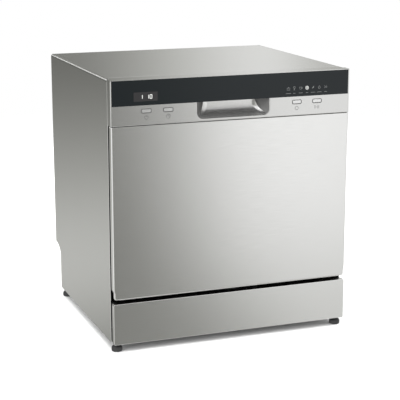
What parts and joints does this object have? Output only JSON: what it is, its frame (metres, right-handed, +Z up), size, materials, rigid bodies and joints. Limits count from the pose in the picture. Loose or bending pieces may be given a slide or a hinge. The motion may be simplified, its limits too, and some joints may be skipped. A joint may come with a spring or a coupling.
{
  "type": "countertop dishwasher",
  "caption": "Free-standing countertop dishwasher: silver casing, drop-down door with recessed handle and black control fascia, pull-out racks and turning spray arms.",
  "frame": {"origin": "on the worktop, at the middle of the overall width and depth", "axes": "+X to the right seen from the front, +Y from the door towards the back, +Z up"},
  "size_m": [0.55, 0.5, 0.595],
  "materials": {
    "silver_casing": "satin silver enamel on sheet steel",
    "steel_front": "fine satin brushed steel, grain across",
    "console_silver": "satin silver lacquer on moulded plastic",
    "fascia_black": "gloss black moulded panel",
    "display": "smoked window over a lit display",
    "button_silver": "bright silver moulded key",
    "stainless": "bright annealed stainless sheet",
    "zinc_steel": "zinc-plated pressed steel",
    "rack_coating": "smooth grey nylon coat on wire",
    "grey_plastic": "moulded grey polypropylene",
    "white_plastic": "moulded white acetal",
    "black_plastic": "moulded black polypropylene",
    "blue_plastic": "moulded blue cap",
    "rubber_seal": "soft moulded rubber",
    "foot_rubber": "hard moulded rubber",
    "circuit_board": "green lacquered board with black parts"
  },
  "bodies": {
    "cabinet": {"left_side_panel": "silver_casing", "right_side_panel": "silver_casing", "top_panel": "silver_casing", "rear_panel": "zinc_steel", "base_tray": "black_plastic", "kick_plate": "steel_front", "levelling_feet": "foot_rubber", "tub": "stainless", "tub_gasket": "rubber_seal", "lower_door_seal": "rubber_seal", "upper_rack_rails": "grey_plastic", "lower_rack_runners": "grey_plastic", "sump": "grey_plastic", "coarse_filter": "grey_plastic", "filter_plate": "stainless", "wash_pump": "black_plastic", "drain_pump": "black_plastic", "heater": "stainless", "spray_feed_pipe": "grey_plastic", "inlet_valve": "white_plastic", "inlet_connector": "grey_plastic", "drain_connector": "grey_plastic", "water_chamber": "white_plastic", "inner_hoses": "rubber_seal", "cord_gland": "rubber_seal", "hinge_brackets": "zinc_steel", "hinge_springs": "zinc_steel", "door_strike": "zinc_steel", "rear_screws": "zinc_steel"},
    "door": {"door_outer_panel": "steel_front", "door_inner_liner": "stainless", "console_housing": "console_silver", "fascia": "fascia_black", "handle_pocket": "console_silver", "display_window": "display", "control_board": "circuit_board", "hinge_arms": "zinc_steel", "door_lock": "black_plastic", "dispenser_body": "grey_plastic"},
    "latch": {"latch_hook": "zinc_steel"},
    "paddle": {"release_paddle": "black_plastic"},
    "power_key": {"power_button": "button_silver"},
    "delay_key": {"delay_button": "button_silver"},
    "program_key": {"program_button": "button_silver"},
    "start_key": {"start_button": "button_silver"},
    "dispenser_lid": {"detergent_lid": "grey_plastic"},
    "rinse_cap": {"rinse_aid_cap": "blue_plastic"},
    "lower_basket": {"lower_rack": "rack_coating", "cutlery_basket": "grey_plastic"},
    "front_wheels": {"lower_front_wheels": "white_plastic"},
    "rear_wheels": {"lower_rear_wheels": "white_plastic"},
    "tine_row": {"folding_tines": "rack_coating"},
    "upper_basket": {"upper_rack": "rack_coating", "spray_manifold": "grey_plastic"},
    "upper_arm": {"upper_spray_arm": "grey_plastic"},
    "shelf": {"cup_shelf": "rack_coating"},
    "wash_rotor": {"wash_impeller": "white_plastic"},
    "drain_rotor": {"drain_impeller": "white_plastic"},
    "lower_arm": {"lower_spray_arm": "grey_plastic"},
    "rollers": {"upper_rollers": "white_plastic"}
  },
  "joints": [
    {"name": "door_hinge", "type": "hinge", "parent": "cabinet", "child": "door", "pos_m": [0, -0.232, 0.144], "axis": [1, 0, 0], "range_deg": [0, 90], "stiffness_Nm_per_rad": 6.5},
    {"name": "lower_rack_slide", "type": "slide", "parent": "cabinet", "child": "lower_basket", "axis": [0, -1, 0], "range_m": [0, 0.185]},
    {"name": "upper_rack_slide", "type": "slide", "parent": "cabinet", "child": "upper_basket", "axis": [0, -1, 0], "range_m": [0, 0.33]},
    {"name": "front_wheels_spin", "type": "hinge", "parent": "lower_basket", "child": "front_wheels", "pos_m": [0, -0.096, 0.196], "axis": [1, 0, 0], "continuous": true},
    {"name": "rear_wheels_spin", "type": "hinge", "parent": "lower_basket", "child": "rear_wheels", "pos_m": [0, 0.122, 0.196], "axis": [1, 0, 0], "continuous": true},
    {"name": "upper_rollers_spin", "type": "hinge", "parent": "cabinet", "child": "rollers", "pos_m": [0, -0.176, 0.43], "axis": [1, 0, 0], "continuous": true},
    {"name": "lower_arm_spin", "type": "hinge", "parent": "cabinet", "child": "lower_arm", "pos_m": [0, 0.009, 0.175], "axis": [0, 0, 1], "continuous": true},
    {"name": "upper_arm_spin", "type": "hinge", "parent": "upper_basket", "child": "upper_arm", "pos_m": [0, 0.009, 0.335], "axis": [0, 0, 1], "continuous": true},
    {"name": "tine_row_fold", "type": "hinge", "parent": "lower_basket", "child": "tine_row", "pos_m": [-0.05, 0.028, 0.208], "axis": [0, -1, 0], "range_deg": [0, 85]},
    {"name": "cup_shelf_fold", "type": "hinge", "parent": "upper_basket", "child": "shelf", "pos_m": [-0.205, 0, 0.43], "axis": [0, 1, 0], "range_deg": [0, 90]},
    {"name": "detergent_lid_hinge", "type": "hinge", "parent": "door", "child": "dispenser_lid", "pos_m": [-0.034, -0.1968, 0.297], "axis": [-1, 0, 0], "range_deg": [0, 90]},
    {"name": "rinse_cap_turn", "type": "hinge", "parent": "door", "child": "rinse_cap", "pos_m": [0.05, -0.2, 0.325], "axis": [0, 1, 0], "range_deg": [0, 90]},
    {"name": "release_paddle_pull", "type": "hinge", "parent": "door", "child": "paddle", "pos_m": [0, -0.2278, 0.5535], "axis": [1, 0, 0], "range_deg": [0, 18], "stiffness_Nm_per_rad": 0.15, "springref_deg": -11.46},
    {"name": "latch_hook_lift", "type": "hinge", "parent": "door", "child": "latch", "pos_m": [0, -0.237, 0.583], "axis": [1, 0, 0], "range_deg": [0, 8]},
    {"name": "wash_pump_spin", "type": "hinge", "parent": "cabinet", "child": "wash_rotor", "pos_m": [0.113, 0.03, 0.08], "axis": [1, 0, 0], "continuous": true},
    {"name": "drain_pump_spin", "type": "hinge", "parent": "cabinet", "child": "drain_rotor", "pos_m": [-0.094, 0, 0.08], "axis": [1, 0, 0], "continuous": true},
    {"name": "power_press", "type": "slide", "parent": "door", "child": "power_key", "axis": [0, 1, 0], "range_m": [0, 0.0015], "stiffness_N_per_m": 500, "springref_m": -0.001},
    {"name": "delay_press", "type": "slide", "parent": "door", "child": "delay_key", "axis": [0, 1, 0], "range_m": [0, 0.0015], "stiffness_N_per_m": 500, "springref_m": -0.001},
    {"name": "program_press", "type": "slide", "parent": "door", "child": "program_key", "axis": [0, 1, 0], "range_m": [0, 0.0015], "stiffness_N_per_m": 500, "springref_m": -0.001},
    {"name": "start_press", "type": "slide", "parent": "door", "child": "start_key", "axis": [0, 1, 0], "range_m": [0, 0.0015], "stiffness_N_per_m": 500, "springref_m": -0.001}
  ],
  "couplings": [
    {"joint": "lower_rack_slide", "follows": "door_hinge", "m_per_rad": 0.1177},
    {"joint": "upper_rack_slide", "follows": "door_hinge", "m_per_rad": 0.21},
    {"joint": "front_wheels_spin", "follows": "door_hinge", "ratio": 10.06},
    {"joint": "rear_wheels_spin", "follows": "door_hinge", "ratio": 10.06},
    {"joint": "upper_rollers_spin", "follows": "door_hinge", "ratio": 24.14},
    {"joint": "latch_hook_lift", "follows": "release_paddle_pull", "ratio": 0.44}
  ]
}
